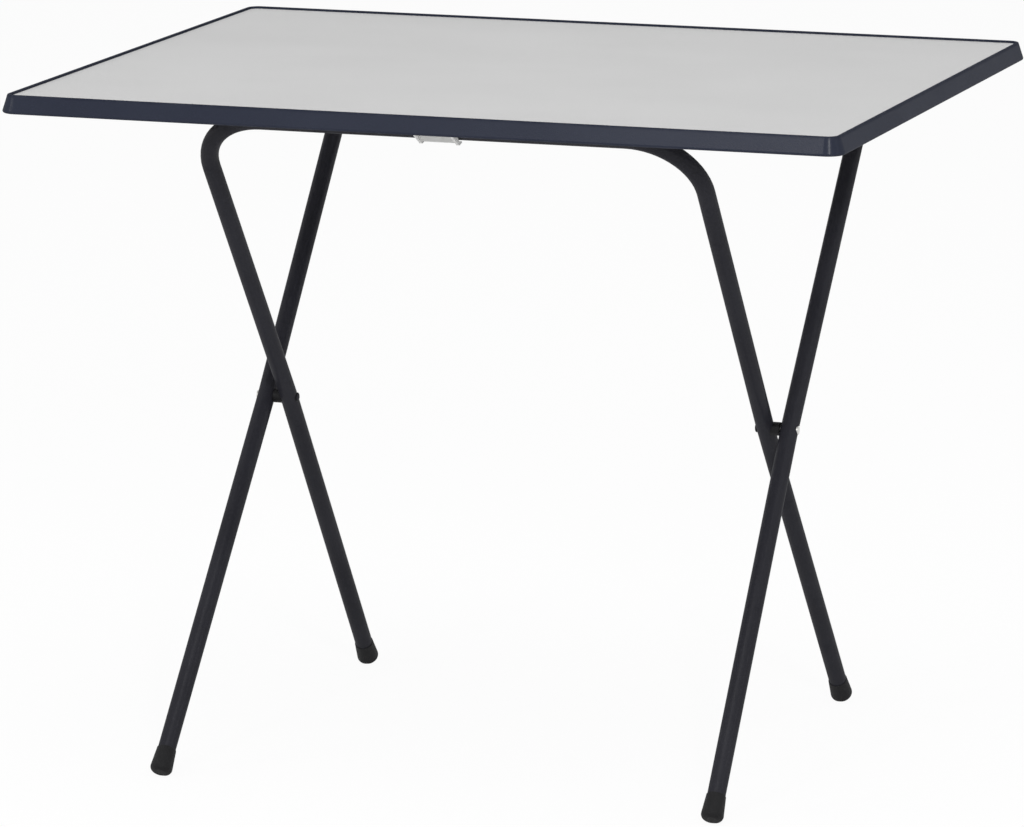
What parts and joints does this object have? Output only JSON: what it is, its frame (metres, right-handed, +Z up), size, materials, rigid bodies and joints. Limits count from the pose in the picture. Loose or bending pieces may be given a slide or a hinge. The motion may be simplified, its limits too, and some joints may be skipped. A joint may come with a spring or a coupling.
{
  "type": "folding camping table",
  "caption": "Folding camping table with a grey rectangular top in a dark moulded edge, on crossed black tube legs that close as scissors under the top.",
  "frame": {"origin": "on the floor, under the middle of the table top", "axes": "+X along the table's long side, +Y towards the hinged rear edge, +Z up"},
  "size_m": [0.9, 0.7, 0.72],
  "materials": {
    "top_board": "satin grey laminate on board",
    "edge_moulding": "fine satin grain",
    "catch_plastic": "satin",
    "screw_zinc": "zinc plated",
    "frame_coat": "semi-gloss powder coat",
    "strap_steel": "semi-gloss powder coat",
    "foot_rubber": "matte",
    "bolt_zinc": "zinc plated",
    "cap_coat": "black oxide",
    "spacer_plastic": "satin"
  },
  "bodies": {
    "outer_legs": {"outer_frame": "frame_coat", "foot_front_left": "foot_rubber", "foot_front_right": "foot_rubber", "pivot_bolt_left": "bolt_zinc", "pivot_bolt_right": "bolt_zinc", "pivot_cap_left": "cap_coat", "pivot_cap_right": "cap_coat"},
    "inner_legs": {"inner_frame": "frame_coat", "foot_rear_left": "foot_rubber", "foot_rear_right": "foot_rubber", "pivot_spacer_left": "spacer_plastic", "pivot_spacer_right": "spacer_plastic", "pivot_washer_left": "spacer_plastic", "pivot_washer_right": "spacer_plastic"},
    "table_top": {"table_panel": "top_board", "edge_rim": "edge_moulding", "front_catch": "catch_plastic", "catch_screws": "screw_zinc", "hinge_strap_left": "strap_steel", "hinge_strap_right": "strap_steel", "strap_screws_left": "screw_zinc", "strap_screws_right": "screw_zinc"}
  },
  "joints": [
    {"name": "leg_pivot", "type": "hinge", "parent": "outer_legs", "child": "inner_legs", "pos_m": [0, -0.0046, 0.3517], "axis": [-1, 0, 0], "range_deg": [0, 76.2]},
    {"name": "top_hinge", "type": "hinge", "parent": "outer_legs", "child": "table_top", "pos_m": [0, 0.2841, 0.6948], "axis": [-1, 0, 0], "range_deg": [0, 40]}
  ],
  "couplings": [
    {"joint": "top_hinge", "follows": "leg_pivot", "ratio": 0.5229}
  ]
}
